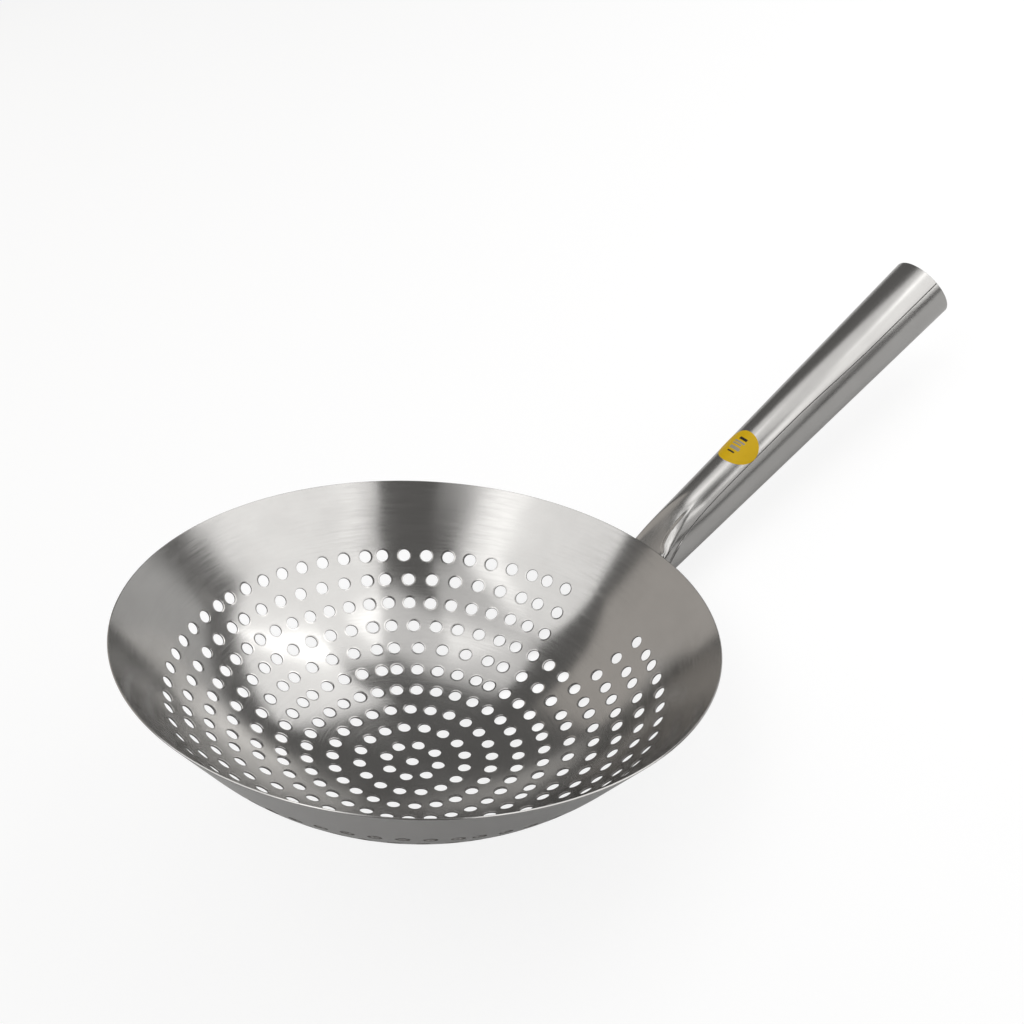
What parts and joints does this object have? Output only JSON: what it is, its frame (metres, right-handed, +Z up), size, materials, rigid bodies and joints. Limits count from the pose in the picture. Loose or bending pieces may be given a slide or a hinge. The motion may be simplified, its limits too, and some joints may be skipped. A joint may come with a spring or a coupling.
{
  "type": "skimmer",
  "caption": "One-piece steel skimmer: a round-bottomed perforated bowl whose sheet runs on into a hollow tapered handle, with a small round sticker on the handle.",
  "frame": {"origin": "the point on the table on which the bowl stands, below the centre of mass", "axes": "+X runs from the bowl towards the handle, +Z is up from the table, and the XZ plane halves the bowl and the handle"},
  "size_m": [0.4572, 0.2812, 0.1517],
  "materials": {
    "satin_steel": "satin, brushed in rings inside the bowl and along the handle",
    "yellow_film": "gloss, thin printed film"
  },
  "bodies": {
    "root": {"skimmer_body": "satin_steel", "sticker": "yellow_film"}
  },
  "joints": []
}
